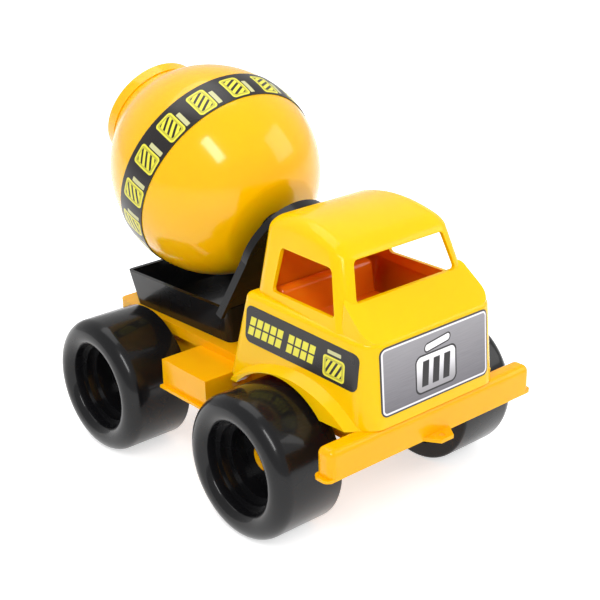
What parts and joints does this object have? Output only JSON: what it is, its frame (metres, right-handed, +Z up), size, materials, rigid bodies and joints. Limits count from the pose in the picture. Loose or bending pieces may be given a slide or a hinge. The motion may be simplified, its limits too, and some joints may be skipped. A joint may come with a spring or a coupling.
{
  "type": "toy concrete mixer truck",
  "caption": "Moulded toy mixer truck with a hollow cab, a tilted drum that turns in its cradle, and wide wheels that roll.",
  "frame": {"origin": "on the floor under the middle of the toy's length and width", "axes": "+Z up, -Y towards the front of the cab, +X towards the truck's left side"},
  "size_m": [0.219, 0.327, 0.2705],
  "materials": {
    "amber_plastic": "glossy amber moulding",
    "yellow_plastic": "glossy yellow moulding",
    "drum_plastic": "glossy orange-yellow moulding",
    "cab_inside": "satin orange moulding",
    "black_plastic": "glossy black moulding",
    "wheel_plastic": "glossy black moulding",
    "steel_rod": "plain drawn rod",
    "black_label": "printed film",
    "silver_label": "printed silver film"
  },
  "bodies": {
    "truck": {"chassis": "amber_plastic", "cab": "yellow_plastic", "cab_seat": "cab_inside", "drum_cradle": "black_plastic", "drum_pin": "black_plastic", "axle_front": "steel_rod", "axle_rear": "steel_rod", "hub_cap_front_left": "amber_plastic", "hub_cap_front_right": "amber_plastic", "hub_cap_rear_left": "amber_plastic", "hub_cap_rear_right": "amber_plastic", "label_front": "silver_label", "label_side_left": "black_label", "label_side_right": "black_label"},
    "drum": {"drum_front": "drum_plastic", "drum_rear": "drum_plastic", "drum_band": "black_label"},
    "wheel_front_left": {"wheel_front_left": "wheel_plastic"},
    "wheel_front_right": {"wheel_front_right": "wheel_plastic"},
    "wheel_rear_left": {"wheel_rear_left": "wheel_plastic"},
    "wheel_rear_right": {"wheel_rear_right": "wheel_plastic"}
  },
  "joints": [
    {"name": "roll_front_left", "type": "hinge", "parent": "truck", "child": "wheel_front_left", "pos_m": [0.0835, -0.07721, 0.05], "axis": [1, 0, 0], "continuous": true},
    {"name": "roll_front_right", "type": "hinge", "parent": "truck", "child": "wheel_front_right", "pos_m": [-0.0835, -0.07721, 0.05], "axis": [1, 0, 0], "continuous": true},
    {"name": "roll_rear_left", "type": "hinge", "parent": "truck", "child": "wheel_rear_left", "pos_m": [0.0835, 0.08729, 0.05], "axis": [1, 0, 0], "continuous": true},
    {"name": "roll_rear_right", "type": "hinge", "parent": "truck", "child": "wheel_rear_right", "pos_m": [-0.0835, 0.08729, 0.05], "axis": [1, 0, 0], "continuous": true},
    {"name": "drum_turn", "type": "hinge", "parent": "truck", "child": "drum", "pos_m": [0, 0.07039, 0.1953], "axis": [0, 0.9232, 0.3843], "continuous": true}
  ]
}
